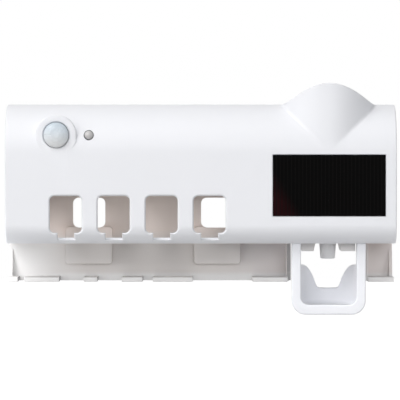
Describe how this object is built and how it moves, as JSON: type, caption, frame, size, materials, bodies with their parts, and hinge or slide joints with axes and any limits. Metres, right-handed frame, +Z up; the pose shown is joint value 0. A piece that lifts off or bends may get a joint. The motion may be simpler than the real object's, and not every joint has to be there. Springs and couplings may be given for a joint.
{
  "type": "ultraviolet toothbrush holder",
  "caption": "Wall-hung white ultraviolet toothbrush holder with notched brush windows, a solar panel, a motion sensor and a lever-worked toothpaste pump.",
  "frame": {"origin": "on the rear housing's flat wall face, midway across the case and 40 mm below its top", "axes": "+X to the right as seen from the front, +Y into the wall, +Z up"},
  "size_m": [0.245, 0.0582, 0.1457],
  "materials": {
    "white_plastic": "satin white",
    "inner_plastic": "fine matte white",
    "solar_cell": "black cell under clear resin",
    "lens_plastic": "milky with fine facets",
    "steel": "bare",
    "clear_plastic": "clear",
    "circuit_board": "green lacquer",
    "chip_black": "matte",
    "lamp_ceramic": "matte",
    "cell_wrap": "shrink wrap",
    "soft_rubber": "matte",
    "soft_grey": "matte",
    "lead_red": "smooth",
    "lead_grey": "smooth"
  },
  "bodies": {
    "case": {"front_cover": "white_plastic", "rear_housing": "inner_plastic", "solar_panel": "solar_cell", "pir_lens": "lens_plastic", "pir_sensor": "steel", "indicator_led": "clear_plastic", "control_board": "circuit_board", "control_chip": "chip_black", "board_capacitor": "chip_black", "board_screw_1": "steel", "board_screw_2": "steel", "cover_screw_1": "steel", "cover_screw_2": "steel", "cover_screw_3": "steel", "cover_screw_4": "steel", "dispenser_screw_1": "steel", "dispenser_screw_2": "steel", "lamp_tray": "inner_plastic", "uv_lamp_board": "circuit_board", "uv_led_1": "lamp_ceramic", "uv_led_2": "lamp_ceramic", "uv_led_3": "lamp_ceramic", "uv_led_4": "lamp_ceramic", "lamp_window": "clear_plastic", "battery_cell": "cell_wrap", "battery_cradle": "inner_plastic", "dispenser_body": "inner_plastic", "tube_seal": "soft_rubber", "inlet_valve": "soft_rubber", "nozzle": "soft_grey", "return_spring": "steel", "pivot_pin": "steel", "solar_lead": "lead_red", "battery_lead": "lead_red", "lamp_lead": "lead_grey"},
    "lever": {"push_lever": "white_plastic"},
    "plunger": {"pump_plunger": "white_plastic", "plunger_seal": "soft_rubber"}
  },
  "joints": [
    {"name": "lever_swing", "type": "hinge", "parent": "case", "child": "lever", "pos_m": [0.0804, -0.0363, -0.02], "axis": [1, 0, 0], "range_deg": [0, 12], "stiffness_Nm_per_rad": 0.25, "springref_deg": -14.9},
    {"name": "plunger_slide", "type": "slide", "parent": "case", "child": "plunger", "axis": [0, 1, 0], "range_m": [0, 0.0033], "deforming": ["return_spring"]}
  ],
  "couplings": [
    {"joint": "plunger_slide", "follows": "lever_swing", "m_per_rad": 0.0155}
  ]
}
